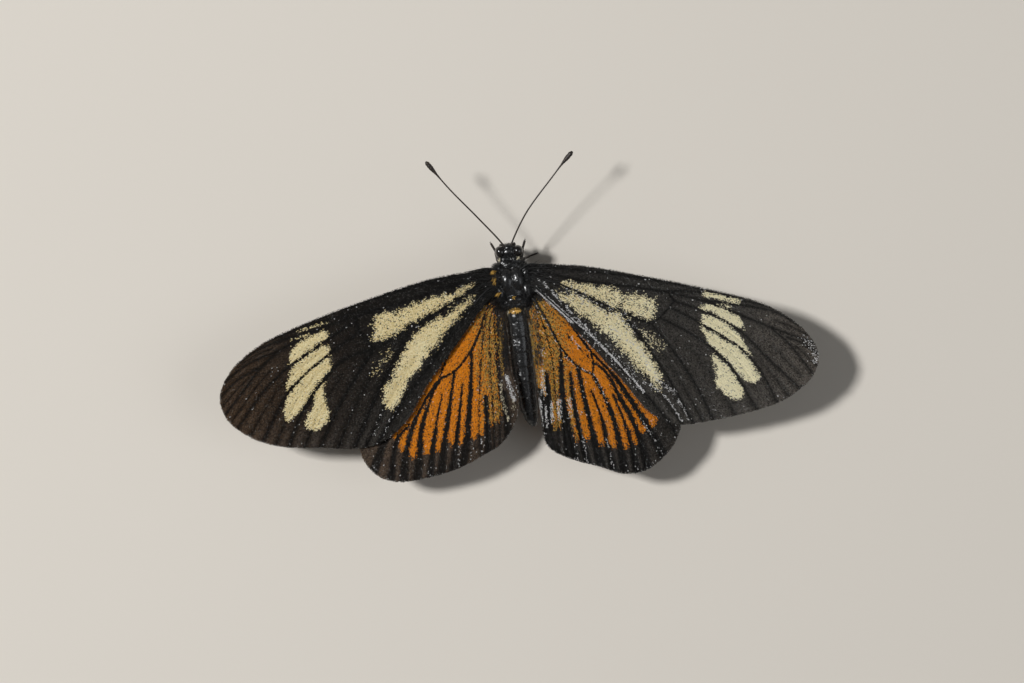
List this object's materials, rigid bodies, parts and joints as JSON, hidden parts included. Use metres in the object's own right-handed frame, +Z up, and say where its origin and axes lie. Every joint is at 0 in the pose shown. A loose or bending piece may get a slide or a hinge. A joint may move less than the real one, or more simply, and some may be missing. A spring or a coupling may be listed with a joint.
{
  "type": "butterfly model",
  "caption": "Still, life-size black butterfly with yellow bands on the forewings and orange hindwings, standing on its legs with the wings spread flat.",
  "frame": {"origin": "middle of the base of the whole model, on the floor", "axes": "+X across the wings to the right of someone who looks down on it with its head away from them, +Y towards the head, +Z up"},
  "size_m": [0.054, 0.0304, 0.0072],
  "materials": {
    "body": "black, glossy under short black hair, with a few tan tufts",
    "eye": "glossy black compound eye",
    "limb": "black, finely scaled",
    "forewing": "brown-black scales with straw-yellow bars between the veins",
    "hindwing": "orange scales between black veins, with a broad black edge"
  },
  "bodies": {
    "root": {"head": "body", "thorax": "body", "abdomen": "body", "tongue": "limb", "eye_left": "eye", "eye_right": "eye", "antenna_left": "limb", "antenna_right": "limb", "palp_left": "limb", "palp_right": "limb", "foreleg_left": "limb", "foreleg_right": "limb", "midleg_left": "limb", "midleg_right": "limb", "hindleg_left": "limb", "hindleg_right": "limb", "forewing_left": "forewing", "forewing_right": "forewing", "hindwing_left": "hindwing", "hindwing_right": "hindwing"}
  },
  "joints": []
}
